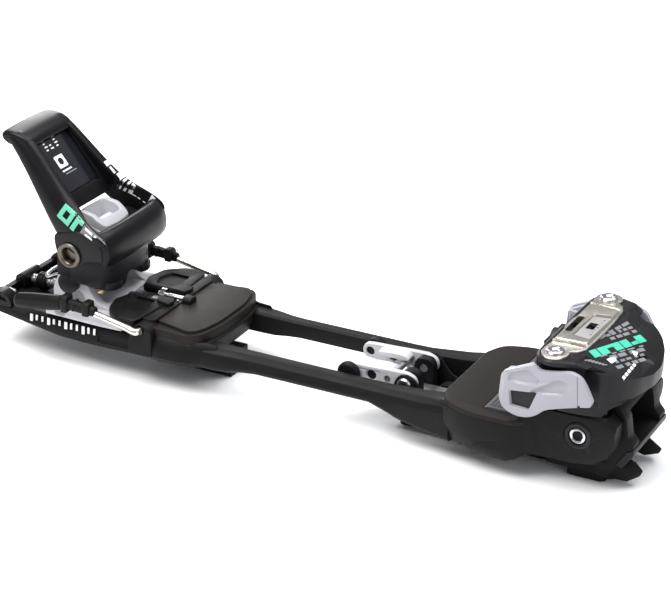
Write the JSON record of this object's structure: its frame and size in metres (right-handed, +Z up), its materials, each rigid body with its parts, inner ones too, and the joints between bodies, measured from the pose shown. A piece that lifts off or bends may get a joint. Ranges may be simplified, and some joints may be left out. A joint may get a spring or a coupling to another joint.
{
  "type": "touring binding",
  "caption": "Frame-type ski touring binding: alpine toe and heel on a long frame that hinges at the toe, with a mode lever, a heel adjuster and a swing-down climbing aid.",
  "frame": {"origin": "on the ski's top face at the boot's mid-sole mark, on the ski's centre line", "axes": "+X towards the boot toe and ski tip, +Z up from the ski, +Y to the skier's left"},
  "size_m": [0.4075, 0.0952, 0.133],
  "materials": {
    "base_plastic": "satin glass filled nylon",
    "frame_plastic": "satin moulded",
    "frame_top": "satin warm black",
    "grey_plastic": "light grey moulded",
    "lever_grey": "light grey moulded",
    "wing_silver": "silver grey lacquer",
    "plate_nickel": "satin nickel",
    "chrome": "bright",
    "steel": "plain",
    "wire_steel": "drawn wire",
    "brass": "machined",
    "heel_black": "semi gloss black",
    "cup_black": "satin",
    "ring_bronze": "dark bronze",
    "glide": "glide surface",
    "white_mark": "printed white",
    "indicator": "black",
    "panel": "gloss black"
  },
  "bodies": {
    "ski_base": {"front_base_plate": "base_plastic", "rear_anchor": "base_plastic", "lever_pins": "heel_black"},
    "mode_lever": {"mode_lever": "lever_grey", "crank_pin": "steel"},
    "pivot_carriage": {"pivot_block": "base_plastic", "axle_bushes": "brass", "drag_link": "steel", "link_pin": "steel"},
    "frame": {"frame_chassis": "frame_plastic", "tour_axle": "chrome", "afd_plate": "glide", "heel_cover": "frame_top", "heel_pads": "frame_plastic", "gauge_rod": "chrome", "lock_hook": "steel", "hook_screws": "steel", "end_cap": "frame_plastic", "scale_marks": "white_mark", "toe_housing": "frame_plastic", "housing_screws": "steel", "toe_plate": "plate_nickel", "wing_pins": "chrome", "toe_spring": "steel", "toe_piston": "brass"},
    "wing_left": {"wing_left": "wing_silver"},
    "wing_right": {"wing_right": "wing_silver"},
    "toe_screw": {"toe_screw": "steel"},
    "toe_indicator": {"toe_indicator": "indicator"},
    "length_spindle": {"length_spindle": "steel"},
    "heel_carriage": {"heel_carriage": "grey_plastic", "spindle_nut": "brass", "pressure_spring": "steel", "heel_pivot_pin": "steel", "lock_wire": "chrome"},
    "heel_cup": {"heel_cup": "cup_black", "heel_housing": "grey_plastic", "heel_spring": "steel", "cup_screws": "steel", "lever_rings": "ring_bronze"},
    "heel_screw": {"heel_screw": "steel"},
    "heel_lever": {"heel_lever": "heel_black", "lever_panel": "panel"},
    "climb_bail": {"bail_wire": "wire_steel", "bail_feet": "frame_plastic"}
  },
  "joints": [
    {"name": "mode_slide", "type": "slide", "parent": "ski_base", "child": "pivot_carriage", "axis": [1, 0, 0], "range_m": [0, 0.024]},
    {"name": "mode_lever_flip", "type": "hinge", "parent": "ski_base", "child": "mode_lever", "pos_m": [0.0525, 0, 0.0275], "axis": [0, 1, 0], "range_deg": [0, 180]},
    {"name": "tour_pivot", "type": "hinge", "parent": "pivot_carriage", "child": "frame", "pos_m": [0.162, 0, 0.033], "axis": [0, 1, 0], "range_deg": [0, 75]},
    {"name": "wing_left_pivot", "type": "hinge", "parent": "frame", "child": "wing_left", "pos_m": [0.1477, 0.0366, 0.06], "axis": [0, 0, 1], "range_deg": [-18, 0], "stiffness_Nm_per_rad": 8},
    {"name": "wing_right_pivot", "type": "hinge", "parent": "frame", "child": "wing_right", "pos_m": [0.1477, -0.0366, 0.06], "axis": [0, 0, 1], "range_deg": [0, 18], "stiffness_Nm_per_rad": 8},
    {"name": "toe_screw_spin", "type": "hinge", "parent": "frame", "child": "toe_screw", "pos_m": [0.171, 0, 0.0665], "axis": [1, 0, 0], "range_deg": [-900, 900]},
    {"name": "toe_indicator_slide", "type": "slide", "parent": "frame", "child": "toe_indicator", "axis": [1, 0, 0], "range_m": [-0.0025, 0.0025]},
    {"name": "heel_length", "type": "slide", "parent": "frame", "child": "heel_carriage", "axis": [1, 0, 0], "range_m": [-0.02, 0.006]},
    {"name": "spindle_spin", "type": "hinge", "parent": "frame", "child": "length_spindle", "pos_m": [-0.149, 0, 0.03], "axis": [1, 0, 0], "range_deg": [-1800, 540]},
    {"name": "heel_cup_pivot", "type": "hinge", "parent": "heel_carriage", "child": "heel_cup", "pos_m": [-0.161, 0, 0.048], "axis": [0, 1, 0], "range_deg": [-40, 0]},
    {"name": "heel_lever_pivot", "type": "hinge", "parent": "heel_cup", "child": "heel_lever", "pos_m": [-0.1556, 0, 0.0684], "axis": [0, 1, 0], "range_deg": [-28, 0]},
    {"name": "heel_screw_spin", "type": "hinge", "parent": "heel_cup", "child": "heel_screw", "pos_m": [-0.164, 0, 0.062], "axis": [1, 0, 0], "range_deg": [-720, 720]},
    {"name": "bail_pivot", "type": "hinge", "parent": "frame", "child": "climb_bail", "pos_m": [-0.1044, 0, 0.0352], "axis": [0, 1, 0], "range_deg": [-95, 0]}
  ],
  "couplings": [
    {"joint": "mode_lever_flip", "follows": "mode_slide", "rad_per_m": 130.89},
    {"joint": "toe_indicator_slide", "follows": "toe_screw_spin", "m_per_rad": 0.000159},
    {"joint": "spindle_spin", "follows": "heel_length", "rad_per_m": 1570.7},
    {"joint": "heel_lever_pivot", "follows": "heel_cup_pivot", "ratio": 0.7}
  ]
}
